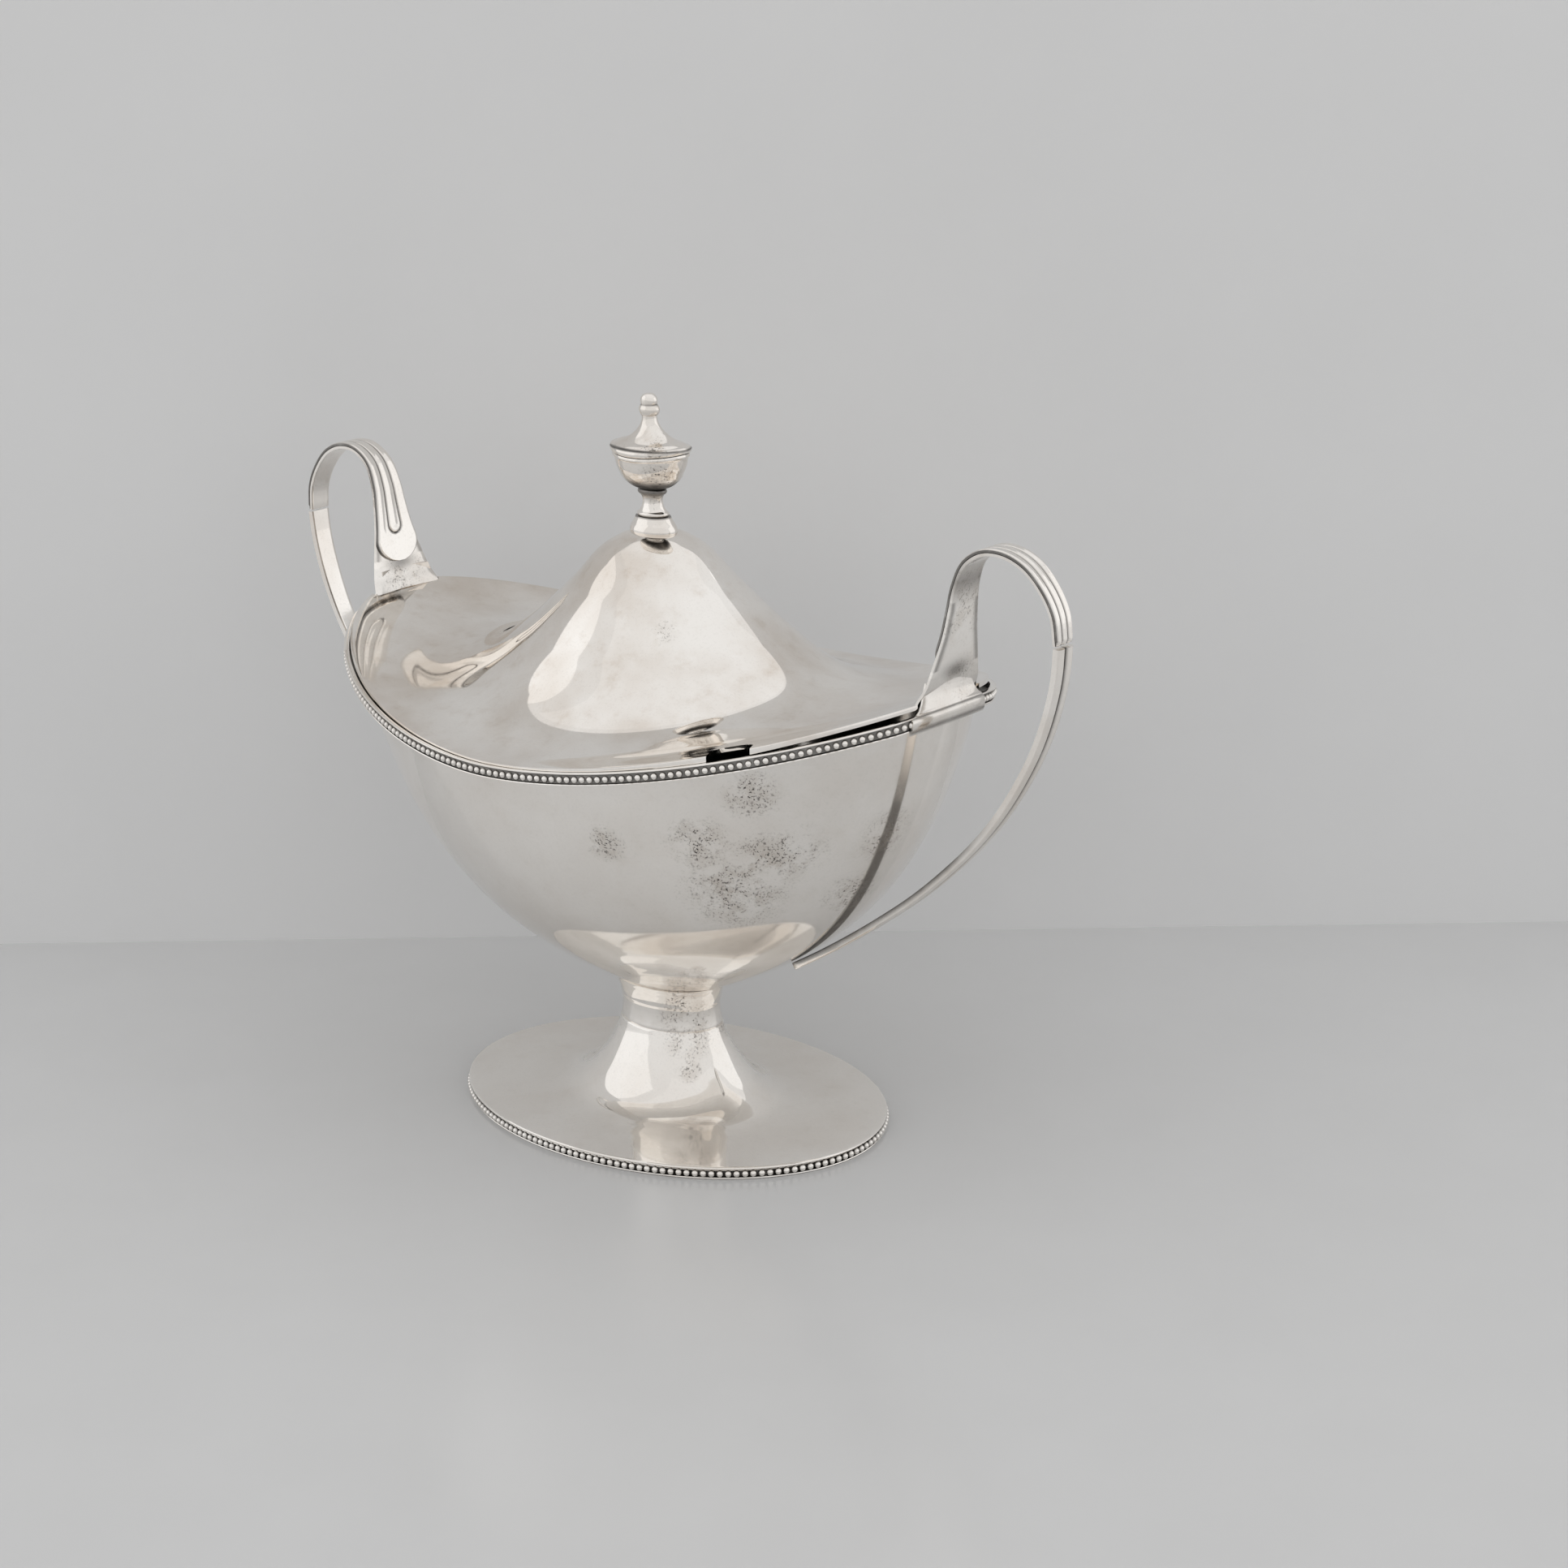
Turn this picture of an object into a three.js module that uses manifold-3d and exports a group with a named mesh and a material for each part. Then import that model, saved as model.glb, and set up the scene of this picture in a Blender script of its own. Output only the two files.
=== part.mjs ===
// A boat-shaped silver sugar bowl with a lift-off lid, built the way a silversmith assembles one:
// raised sheet shells, applied bead strips and wires, strap handles and a bolted urn finial.
// Millimetres, +Z up, +X along the line of the handles, origin on the floor under the foot.
import * as THREE from 'three';
import * as BufferGeometryUtils from 'three/addons/utils/BufferGeometryUtils.js';
import Module from 'manifold-3d';

const wasm = await Module();
wasm.setup();

// Driving dimensions.
const SHEET = 0.9;
const SOLDER_GAP = 0.3;
const BODY_STEPS = 40;
const FINIAL_STEPS = 24;

// Foot: an oval trumpet on a beaded edge.
const FOOT_HALF_LENGTH = 53.1;
const FOOT_RATIO = 0.72;
const FOOT_EDGE_Z = 2.75;
const FOOT_TOP_Z = 20;

// Collar between the foot and the bowl.
const COLLAR_TOP_Z = 29.6;

// Bowl and rim share one plan: a profile radius of PLAN_RADIUS lands on these half axes.
const PLAN_RADIUS = 68.5;
const PLAN_HALF_LENGTH = 82;
const PLAN_HALF_WIDTH = 55;
const PLAN_EXPONENT = 1.84;
const BOWL_BASE_Z = 29.9;
const BEAD_LINE_Z = 91.4;
const RIM_SWEEP = 13.6;
const SWEEP_POWER = 1.83;
const BODY_SWEEP_POWER = 1.46;
const LEDGE_DROP = 0.5;

// Lid: its edge sweeps up a little more than the rim does.
const LID_RADIUS = 67.9;
const LID_EDGE_Z = 93.0;
const LID_SWEEP = 15.4;
const LID_SWEEP_SPREAD = 2.3;
const LID_ROUNDING = 0.29;
const LID_SKIRT = 1.8;
const LID_CROWN = 38;

// Cut-outs in the lid: one for each handle and one for the spoon.
const HANDLE_CUT_X = 77.9;
const HANDLE_CUT_HALF_WIDTH = 10;
const SPOON_NOTCH = { x: 54.1, y: -38.7, turn: 0.566, width: 8.5, depth: 5.4, corner: 2.6 };

// Handles.
const STRAP_THICKNESS = 0.8;
const REED_THICKNESS = 0.6;
const LOWER_STRAP_THICKNESS = 1.4;
const TONGUE_START = 0.12;
const ROOT_HALF_WIDTH = 9.6;

// Finial.
const STUD_RADIUS = 1.0;
const STUD_CLEARANCE = 0.3;
const FINIAL_RATIO = 0.7;

const sugarBowl = new THREE.Group();

// ---------------------------------------------------------------- materials

// Polished silver, worn bright.
const silver = () => new THREE.MeshStandardMaterial({ color: 0xd9d4cc, roughness: 0.18, metalness: 1 });

// The bead strips, whose recesses have gone dark.
const beadSilver = () => new THREE.MeshStandardMaterial({ color: 0x9a958c, roughness: 0.35, metalness: 1 });

// The fixings under the lid, never polished.
const dullSilver = () => new THREE.MeshStandardMaterial({ color: 0xaaa59c, roughness: 0.45, metalness: 1 });

// ---------------------------------------------------------------- shared geometry

// Keeps only positions, merges shared corners and turns the faces outwards.
function closedBody(geometry) {
  geometry.deleteAttribute('normal');
  geometry.deleteAttribute('uv');
  const merged = BufferGeometryUtils.mergeVertices(geometry, 1e-4);
  if (signedVolume(merged) < 0) {
    const index = merged.getIndex();
    for (let i = 0; i < index.count; i += 3) {
      const first = index.getX(i);
      index.setX(i, index.getX(i + 1));
      index.setX(i + 1, first);
    }
  }
  return merged;
}

function signedVolume(geometry) {
  const position = geometry.getAttribute('position');
  const index = geometry.getIndex();
  const a = new THREE.Vector3();
  const b = new THREE.Vector3();
  const c = new THREE.Vector3();
  let volume = 0;
  for (let i = 0; i < index.count; i += 3) {
    a.fromBufferAttribute(position, index.getX(i));
    b.fromBufferAttribute(position, index.getX(i + 1));
    c.fromBufferAttribute(position, index.getX(i + 2));
    volume += a.dot(b.cross(c)) / 6;
  }
  return volume;
}

// A round turning, then every point moved by shape(radius, angle, height).
function shapedTurning(profile, steps, shape) {
  const points = profile.map(([radius, height]) => new THREE.Vector2(radius, height));
  const geometry = new THREE.LatheGeometry(points, steps);
  const position = geometry.getAttribute('position');
  for (let i = 0; i < position.count; i += 1) {
    const radius = Math.hypot(position.getX(i), position.getZ(i));
    const angle = Math.atan2(position.getX(i), position.getZ(i));
    const [x, y, z] = shape(radius, angle, position.getY(i));
    position.setXYZ(i, x, y, z);
  }
  return closedBody(geometry);
}

// One point of a superellipse: exponent 2 is an ellipse, less draws the ends out.
function ovalPoint(angle, halfLength, halfWidth, exponent) {
  const along = Math.cos(angle);
  const across = Math.sin(angle);
  const power = 2 / exponent;
  return [
    halfLength * Math.sign(along) * Math.abs(along) ** power,
    halfWidth * Math.sign(across) * Math.abs(across) ** power,
  ];
}

// How far the boat line has risen at this angle: 0 amidships, 1 at both ends.
function riseAt(angle) {
  const [along] = ovalPoint(angle, 1, 1, PLAN_EXPONENT);
  return Math.abs(along) ** SWEEP_POWER;
}

function cubicProfile(corners, steps) {
  const curve = new THREE.CubicBezierCurve(...corners.map(([x, y]) => new THREE.Vector2(x, y)));
  return curve.getPoints(steps).map((point) => [point.x, point.y]);
}

// The same line moved sideways by distance, to give a sheet its second face.
function offsetProfile(profile, distance) {
  return profile.map(([radius, height], i) => {
    const before = profile[Math.max(i - 1, 0)];
    const after = profile[Math.min(i + 1, profile.length - 1)];
    const run = after[0] - before[0];
    const climb = after[1] - before[1];
    const length = Math.hypot(run, climb);
    return [radius - distance * climb / length, height + distance * run / length];
  });
}

function toManifold(geometry) {
  const mesh = new wasm.Mesh({
    numProp: 3,
    vertProperties: Float32Array.from(geometry.getAttribute('position').array),
    triVerts: Uint32Array.from(geometry.getIndex().array),
  });
  return new wasm.Manifold(mesh);
}

function fromManifold(solid) {
  const mesh = solid.getMesh();
  const geometry = new THREE.BufferGeometry();
  geometry.setAttribute('position', new THREE.BufferAttribute(mesh.vertProperties, 3));
  geometry.setIndex(new THREE.BufferAttribute(mesh.triVerts, 1));
  return geometry;
}

function boxBetween(low, high) {
  const size = high.map((value, i) => value - low[i]);
  const box = new THREE.BoxGeometry(...size);
  box.translate(...low.map((value, i) => value + size[i] / 2));
  return closedBody(box);
}

function addPiece(name, geometry, material) {
  const piece = new THREE.Mesh(geometry, material);
  piece.name = name;
  sugarBowl.add(piece);
}

// ---------------------------------------------------------------- foot

// The foot's plan is a plain ellipse at every height.
function footShape(radius, angle, height) {
  const [x, y] = ovalPoint(angle, radius, radius * FOOT_RATIO, 2);
  return [x, y, height];
}

// Raised trumpet: a flat plate that sweeps up into a waist, open underneath.
function footShell() {
  const waist = [[FOOT_HALF_LENGTH, FOOT_EDGE_Z], [21, 5.2], [13.6, 8.6], [12.9, FOOT_TOP_Z]];
  const outside = cubicProfile(waist, 14);
  const inside = offsetProfile(outside, SHEET).slice(1, -1).reverse();
  const topInside = [outside.at(-1)[0] - SHEET, FOOT_TOP_Z];
  const edgeInside = [FOOT_HALF_LENGTH - SHEET, FOOT_EDGE_Z - SHEET * 0.7];
  const edgeUnder = [FOOT_HALF_LENGTH, FOOT_EDGE_Z - SHEET * 0.7];
  const profile = [...outside, topInside, ...inside, edgeInside, edgeUnder, outside[0]];
  return shapedTurning(profile, BODY_STEPS, footShape);
}

function ring(innerRadius, outerRadius, low, high, shape) {
  const section = [
    [innerRadius, low],
    [outerRadius, low],
    [outerRadius, high],
    [innerRadius, high],
    [innerRadius, low],
  ];
  return shapedTurning(section, BODY_STEPS, shape);
}

const FOOT_WIRE_TOP = 0.45;
const FOOT_BAND_TOP = 1.85;
addPiece('foot_shell', footShell(), silver());
addPiece('foot_bead_band', ring(50.9, 52.9, 0.65, FOOT_BAND_TOP, footShape), beadSilver());
addPiece('foot_base_wire', ring(50.6, 53.0, 0, FOOT_WIRE_TOP, footShape), silver());

// ---------------------------------------------------------------- stem collar

// A short waisted tube soldered between the foot and the bowl.
function stemCollar() {
  const waist = [[12.7, FOOT_TOP_Z + SOLDER_GAP], [12.3, 22.5], [11.7, 26.5], [13.9, COLLAR_TOP_Z]];
  const outside = cubicProfile(waist, 6);
  const inside = offsetProfile(outside, SHEET).map(([radius], i) => [radius, outside[i][1]]).reverse();
  return shapedTurning([...outside, ...inside, outside[0]], BODY_STEPS, footShape);
}

addPiece('stem_collar', stemCollar(), silver());

// ---------------------------------------------------------------- bowl

// A level oval at the base that turns into the swept, drawn-out oval of the rim.
function bowlShape(radius, angle, height) {
  const share = THREE.MathUtils.clamp((height - BOWL_BASE_Z) / (BEAD_LINE_Z - BOWL_BASE_Z), 0, 1);
  const exponent = 2 + (PLAN_EXPONENT - 2) * Math.min(share * 1.3, 1);
  const scale = radius / PLAN_RADIUS;
  const [x, y] = ovalPoint(angle, PLAN_HALF_LENGTH * scale, PLAN_HALF_WIDTH * scale, exponent);
  return [x, y, height + RIM_SWEEP * riseAt(angle) * share ** BODY_SWEEP_POWER];
}

function bowlBody() {
  const climb = BEAD_LINE_Z - LEDGE_DROP - BOWL_BASE_Z;
  const wall = [[0.17, 0], [0.476, 0.169], [0.8, 0.356], [0.965, 1]];
  const corners = wall.map(([share, rise]) => [share * PLAN_RADIUS, BOWL_BASE_Z + rise * climb]);
  const outside = cubicProfile(corners, 13);
  const inside = offsetProfile(outside, SHEET).slice(0, -1).reverse();
  const topInside = [outside.at(-1)[0] - SHEET, outside.at(-1)[1]];
  const floorInside = [0, inside.at(-1)[1]];
  return shapedTurning([[0, BOWL_BASE_Z], ...outside, topInside, ...inside, floorInside], BODY_STEPS, bowlShape);
}

addPiece('bowl_body', bowlBody(), silver());

// ---------------------------------------------------------------- rim

// Strips on the rim: height is counted from the line through the beads.
function rimShape(radius, angle, height) {
  const scale = radius / PLAN_RADIUS;
  const [x, y] = ovalPoint(angle, PLAN_HALF_LENGTH * scale, PLAN_HALF_WIDTH * scale, PLAN_EXPONENT);
  return [x, y, BEAD_LINE_Z + height + RIM_SWEEP * riseAt(angle)];
}

const BAND_INNER = 66.45;
const BAND_OUTER = 69.0;
const BAND_WALL = 68.2;

// L-shaped strip: its flat leg is the ledge for the lid, its upright leg carries the beads.
function rimBeadBand() {
  const section = [
    [BAND_INNER, -1.0],
    [BAND_OUTER, -1.0],
    [BAND_OUTER, 0.7],
    [BAND_WALL, 0.7],
    [BAND_WALL, -LEDGE_DROP],
    [BAND_INNER, -LEDGE_DROP],
    [BAND_INNER, -1.0],
  ];
  return shapedTurning(section, BODY_STEPS, rimShape);
}

addPiece('rim_bead_band', rimBeadBand(), beadSilver());
addPiece('rim_top_wire', ring(BAND_WALL, 69.4, 0.9, 1.25, rimShape), silver());
addPiece('rim_lower_wire', ring(66.6, 69.2, -1.6, -1.2, rimShape), silver());

// ---------------------------------------------------------------- handles

// Each point is x, z and half width of the strap.
const UPPER_STRAP = [
  [79.2, 105.9, 9.6],
  [80.3, 110, 8.5],
  [81.5, 115, 7.0],
  [82.7, 121, 5.3],
  [83.5, 126, 4.5],
  [84.4, 130.8, 4.0],
  [86.6, 135.5, 3.6],
  [90.4, 137.9, 3.4],
  [95, 138.1, 3.2],
  [99.6, 136.3, 3.0],
  [103.4, 132.6, 2.8],
  [106, 128, 2.65],
  [106.8, 122.2, 2.55],
];
const LOWER_STRAP = [
  [106.8, 121.8, 2.55],
  [106.2, 116, 2.5],
  [104.2, 108, 2.5],
  [101.2, 100.3, 2.45],
  [97.6, 93.6, 2.4],
  [92.2, 85.4, 2.3],
  [86, 78, 2.2],
  [78.9, 71, 2.1],
  [70.4, 63.6, 2.0],
  [62, 57.2, 1.9],
  [53.2, 50.9, 1.8],
  [44.5, 44.9, 1.6],
  [36, 39.3, 1.2],
];

function strapCurve(points) {
  return new THREE.CatmullRomCurve3(points.map(([x, z, halfWidth]) => new THREE.Vector3(x, halfWidth, z)));
}

// A flat bar bent along the curve; offset moves it off the curve, outwards from the loop.
function bentStrap(curve, { thickness, offset = 0, from = 0, steps, widthAt = (halfWidth) => halfWidth }) {
  const bar = new THREE.BoxGeometry(1, 1, 1, 1, 1, steps);
  const position = bar.getAttribute('position');
  for (let i = 0; i < position.count; i += 1) {
    const share = position.getZ(i) + 0.5;
    const t = from + (1 - from) * share;
    const centre = curve.getPoint(t);
    const ahead = curve.getPoint(Math.min(t + 0.002, 1));
    const behind = curve.getPoint(Math.max(t - 0.002, 0));
    const heading = Math.atan2(ahead.z - behind.z, ahead.x - behind.x);
    const reach = offset + position.getX(i) * thickness;
    const halfWidth = widthAt(centre.y, share);
    position.setXYZ(
      i,
      centre.x - Math.sin(heading) * reach,
      position.getY(i) * 2 * halfWidth,
      centre.z + Math.cos(heading) * reach,
    );
  }
  return closedBody(bar);
}

// The upper strap with the foot plate that lies on the rim under it.
function upperStrap() {
  const strap = bentStrap(strapCurve(UPPER_STRAP), { thickness: STRAP_THICKNESS, steps: 26 });
  const band = ring(62, 69.4, 1.45, 2.3, rimShape);
  const plateCorner = [HANDLE_CUT_X + SOLDER_GAP, -ROOT_HALF_WIDTH, 90];
  const plateArea = boxBetween(plateCorner, [90, ROOT_HALF_WIDTH, 120]);
  const plate = toManifold(band).intersect(toManifold(plateArea));
  return fromManifold(toManifold(strap).add(plate));
}

// The reeded strip on the outside of the upper strap, from a round tongue to the seam.
function reededStrip() {
  const tongueWidth = (halfWidth, share) => {
    const roundEnd = Math.sqrt(1 - (1 - Math.min(share / 0.08 + 0.12, 1)) ** 2);
    return (halfWidth - 0.9 * Math.max(1 - share / 0.35, 0) - 0.1) * roundEnd;
  };
  return bentStrap(strapCurve(UPPER_STRAP), {
    thickness: REED_THICKNESS,
    offset: (STRAP_THICKNESS + REED_THICKNESS) / 2 + SOLDER_GAP / 2,
    from: TONGUE_START,
    steps: 26,
    widthAt: tongueWidth,
  });
}

function lowerStrap() {
  return bentStrap(strapCurve(LOWER_STRAP), { thickness: LOWER_STRAP_THICKNESS, steps: 24 });
}

for (const [side, turn] of [['right', 0], ['left', Math.PI]]) {
  const pieces = [
    [`handle_upper_strap_${side}`, upperStrap()],
    [`handle_reeded_strip_${side}`, reededStrip()],
    [`handle_lower_strap_${side}`, lowerStrap()],
  ];
  for (const [name, geometry] of pieces) {
    addPiece(name, geometry.rotateZ(turn), silver());
  }
}

// ---------------------------------------------------------------- lid

// The flange follows the boat line; towards the crown the plan grows rounder and the sweep fades.
function lidShape(radius, angle, height) {
  const share = radius / LID_RADIUS;
  const exponent = 2 + (PLAN_EXPONENT - 2) * share;
  const edgeRatio = PLAN_HALF_WIDTH / PLAN_HALF_LENGTH;
  const halfLength = radius * PLAN_HALF_LENGTH / PLAN_RADIUS;
  const halfWidth = halfLength * (edgeRatio + LID_ROUNDING * (1 - share));
  const [x, y] = ovalPoint(angle, halfLength, halfWidth, exponent);
  return [x, y, LID_EDGE_Z + height + LID_SWEEP * riseAt(angle) * share ** LID_SWEEP_SPREAD];
}

// Where the spoon's stem leaves: an arched notch through the skirt and the flange.
function spoonNotch() {
  const { width, depth, corner } = SPOON_NOTCH;
  const half = width / 2;
  const arch = new THREE.Shape();
  arch.moveTo(-half, -6);
  arch.lineTo(half, -6);
  arch.lineTo(half, depth - corner);
  arch.quadraticCurveTo(half, depth, half - corner, depth);
  arch.lineTo(corner - half, depth);
  arch.quadraticCurveTo(-half, depth, -half, depth - corner);
  arch.closePath();
  const cutter = new THREE.ExtrudeGeometry(arch, { depth: 40, bevelEnabled: false, curveSegments: 4 });
  cutter.translate(0, 0, 80);
  cutter.rotateZ(SPOON_NOTCH.turn);
  cutter.translate(SPOON_NOTCH.x, SPOON_NOTCH.y, 0);
  return closedBody(cutter);
}

function lidShell() {
  const bore = STUD_RADIUS + STUD_CLEARANCE;
  const swell = [
    [0.12, LID_CROWN - 2.9],
    [0.24, LID_CROWN - 11.6],
    [0.38, 15.8],
    [0.55, 6.0],
    [0.75, 1.5],
    [1, 0],
  ];
  const through = [[bore / LID_RADIUS, LID_CROWN], ...swell];
  const curve = new THREE.SplineCurve(through.map(([share, rise]) => new THREE.Vector2(share * LID_RADIUS, rise)));
  const outside = curve.getPoints(15).map((point) => [point.x, point.y]);
  const inside = offsetProfile(outside, -SHEET).slice(1, -1).reverse();
  const skirt = [[LID_RADIUS, -LID_SKIRT], [LID_RADIUS - SHEET, -LID_SKIRT], [LID_RADIUS - SHEET, -SHEET]];
  const boreBottom = [bore, LID_CROWN - SHEET];
  const profile = [...outside, ...skirt, ...inside, boreBottom, outside[0]];
  let lid = toManifold(shapedTurning(profile, BODY_STEPS, lidShape));
  lid = lid.subtract(toManifold(spoonNotch()));
  for (const end of [-1, 1]) {
    const xs = [end * HANDLE_CUT_X, end * 95].sort((a, b) => a - b);
    const cut = boxBetween([xs[0], -HANDLE_CUT_HALF_WIDTH, 90], [xs[1], HANDLE_CUT_HALF_WIDTH, 120]);
    lid = lid.subtract(toManifold(cut));
  }
  return fromManifold(lid);
}

addPiece('lid_shell', lidShell(), silver());

// ---------------------------------------------------------------- finial

// Oval outside, round where the stud runs through.
function finialShape(radius, angle, height) {
  const ratio = radius <= STUD_RADIUS + STUD_CLEARANCE ? 1 : FINIAL_RATIO;
  return [radius * Math.cos(angle), radius * ratio * Math.sin(angle), height];
}

function roundShape(radius, angle, height) {
  return [radius * Math.cos(angle), radius * Math.sin(angle), height];
}

const FINIAL_FLOOR = LID_EDGE_Z + LID_CROWN + SOLDER_GAP;
const STUD_BORE = STUD_RADIUS + STUD_CLEARANCE;

// Cushion moulding that seats on the crown of the lid.
const baseProfile = [
  [STUD_BORE, FINIAL_FLOOR],
  [4.9, FINIAL_FLOOR],
  [5.4, FINIAL_FLOOR + 0.8],
  [5.1, FINIAL_FLOOR + 1.8],
  [3.9, FINIAL_FLOOR + 2.6],
  [STUD_BORE, FINIAL_FLOOR + 2.6],
  [STUD_BORE, FINIAL_FLOOR],
];
addPiece('finial_base', shapedTurning(baseProfile, FINIAL_STEPS, finialShape), silver());

// Waisted stem of the urn, between a ring and a collar.
const pedestalProfile = [
  [STUD_BORE, 134.2],
  [3.8, 134.2],
  [3.9, 134.8],
  [3.2, 135.4],
  [2.5, 137.2],
  [2.8, 138.5],
  [3.3, 138.9],
  [3.3, 139.8],
  [STUD_BORE, 139.8],
  [STUD_BORE, 134.2],
];
addPiece('finial_pedestal', shapedTurning(pedestalProfile, FINIAL_STEPS, finialShape), silver());

// Urn cup, open at the top, with the stud coming up through its floor.
const cupProfile = [
  [STUD_BORE, 140.1],
  [3.0, 140.1],
  [6.0, 141.8],
  [8.3, 144.4],
  [9.3, 147.0],
  [8.5, 147.0],
  [7.5, 144.8],
  [5.4, 142.6],
  [3.0, 141.6],
  [STUD_BORE, 141.6],
  [STUD_BORE, 140.1],
];
addPiece('finial_cup', shapedTurning(cupProfile, FINIAL_STEPS, finialShape), silver());

// Ogee cover of the urn, drawn up to a slender neck.
const coverProfile = [
  [0, 147.3],
  [9.6, 147.3],
  [9.8, 148.2],
  [9.3, 148.8],
  [6.2, 149.9],
  [3.6, 151.5],
  [2.0, 153.6],
  [1.5, 155.4],
  [0, 155.4],
];
addPiece('finial_cover', shapedTurning(coverProfile, FINIAL_STEPS, finialShape), silver());

// Two stacked balls on top.
const knobProfile = [
  [0, 155.7],
  [1.3, 155.7],
  [2.1, 156.3],
  [2.15, 157.1],
  [1.6, 157.9],
  [1.65, 158.9],
  [1.2, 159.8],
  [0.5, 160.1],
  [0, 160.1],
];
addPiece('finial_knob', shapedTurning(knobProfile, FINIAL_STEPS, roundShape), silver());

// The stud runs from the urn's floor through the crown to a washer and nut.
const CROWN_UNDERSIDE = LID_EDGE_Z + LID_CROWN - SHEET;
const washerTop = CROWN_UNDERSIDE - 1.4;
const nutTop = washerTop - 0.9 - SOLDER_GAP;
const STUD_HEAD_Z = 141.6 + SOLDER_GAP;
const studProfile = [
  [0, nutTop - 3.4],
  [STUD_RADIUS, nutTop - 3.4],
  [STUD_RADIUS, STUD_HEAD_Z],
  [2.2, STUD_HEAD_Z],
  [2.2, STUD_HEAD_Z + 1.2],
  [0, STUD_HEAD_Z + 1.2],
];
addPiece('finial_stud', shapedTurning(studProfile, FINIAL_STEPS, roundShape), dullSilver());

function collarRing(outerRadius, top, thickness, steps) {
  const section = [
    [STUD_BORE, top - thickness],
    [outerRadius, top - thickness],
    [outerRadius, top],
    [STUD_BORE, top],
    [STUD_BORE, top - thickness],
  ];
  return shapedTurning(section, steps, roundShape);
}

addPiece('finial_washer', collarRing(3.8, washerTop, 0.9, FINIAL_STEPS), dullSilver());
addPiece('finial_nut', collarRing(3.0, nutTop, 2.2, 6), dullSilver());

export default sugarBowl;
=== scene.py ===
import math

import bpy
import numpy as np
from mathutils import Matrix, Vector


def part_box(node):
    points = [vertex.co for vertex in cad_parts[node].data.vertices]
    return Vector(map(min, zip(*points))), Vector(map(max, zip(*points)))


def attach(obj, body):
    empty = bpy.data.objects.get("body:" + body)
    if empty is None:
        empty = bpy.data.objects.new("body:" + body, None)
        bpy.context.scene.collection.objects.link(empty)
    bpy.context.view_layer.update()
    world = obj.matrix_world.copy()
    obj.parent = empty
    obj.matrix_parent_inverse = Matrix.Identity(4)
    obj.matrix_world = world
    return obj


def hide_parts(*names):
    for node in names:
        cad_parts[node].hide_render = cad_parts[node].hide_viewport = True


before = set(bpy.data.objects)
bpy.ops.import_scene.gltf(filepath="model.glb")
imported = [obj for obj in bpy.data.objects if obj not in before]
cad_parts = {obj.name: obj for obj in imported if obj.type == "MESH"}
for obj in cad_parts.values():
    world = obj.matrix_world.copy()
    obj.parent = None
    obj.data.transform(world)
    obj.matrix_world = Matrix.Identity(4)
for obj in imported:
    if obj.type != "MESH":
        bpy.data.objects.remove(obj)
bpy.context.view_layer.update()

# ---------------------------------------------------------------- foot
# An oval foot, raised from silver sheet and open underneath. A flat plate turns
# up into a bell that narrows to the waist. The edge is dressed round over the
# beading, and tarnish stays in the waist, where the cloth can't reach.

MM = 0.001
SHEET = 0.9
foot_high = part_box("foot_shell")[1]
FOOT_LENGTH = foot_high.x / MM
FOOT_RATIO = foot_high.y / foot_high.x
FOOT_TOP = foot_high.z / MM
FOOT_LIP = 2.75
BRIGHT_TONE = (0.955, 0.925, 0.885, 1)
FILM_TONE = (0.72, 0.645, 0.57, 1)
SMOKE_TONE = (0.42, 0.34, 0.26, 1)
# The dark tone colours oxide and specks, and also the painted shade on the bowl.
OXIDE_AND_SHADE_TONE = (0.035, 0.032, 0.03, 1)


def put_down():
    """Leaves nothing selected, so that an operator acts on the new piece alone."""
    if bpy.context.object is not None and bpy.context.object.mode == "EDIT":
        bpy.ops.object.mode_set(mode="OBJECT")
    bpy.ops.object.select_all(action="DESELECT")


def through(knots, count):
    """count + 1 evenly spaced points on a smooth line through the knots."""
    knots = np.array(knots, float)
    reach = np.r_[0, np.cumsum(np.linalg.norm(np.diff(knots[:, :2], axis=0), axis=1))]
    slope = np.gradient(knots, reach, axis=0)
    at = np.linspace(0, reach[-1], count + 1)
    i = np.clip(np.searchsorted(reach, at, side="right") - 1, 0, len(knots) - 2)
    span = (reach[i + 1] - reach[i])[:, None]
    t = (at - reach[i])[:, None] / span
    return (
        (1 + 2 * t) * (1 - t) ** 2 * knots[i]
        + t * (1 - t) ** 2 * span * slope[i]
        + t * t * (3 - 2 * t) * knots[i + 1]
        + t * t * (t - 1) * span * slope[i + 1]
    )


def drawn(corners, count):
    """count + 1 points on the curve that four corners pull."""
    a, b, c, d = np.array(corners, float)
    t = np.linspace(0, 1, count + 1)[:, None]
    return (1 - t) ** 3 * a + 3 * (1 - t) ** 2 * t * b + 3 * (1 - t) * t * t * c + t**3 * d


def beside(line, gap):
    """The other face of a sheet: the same line moved gap mm to its left."""
    run = np.gradient(line, axis=0)
    run /= np.linalg.norm(run, axis=1)[:, None]
    return line + gap * np.stack([-run[:, 1], run[:, 0]], 1)


def finish_skin(piece, crease=32):
    """Closes seams and poles, turns the faces outwards and smooths all but the creases."""
    put_down()
    piece.select_set(True)
    bpy.context.view_layer.objects.active = piece
    bpy.ops.object.mode_set(mode="EDIT")
    bpy.ops.mesh.select_all(action="SELECT")
    bpy.ops.mesh.remove_doubles(threshold=0.015 * MM)
    bpy.ops.mesh.normals_make_consistent(inside=False)
    bpy.ops.object.mode_set(mode="OBJECT")
    bpy.ops.object.shade_smooth_by_angle(angle=math.radians(crease))


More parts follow.
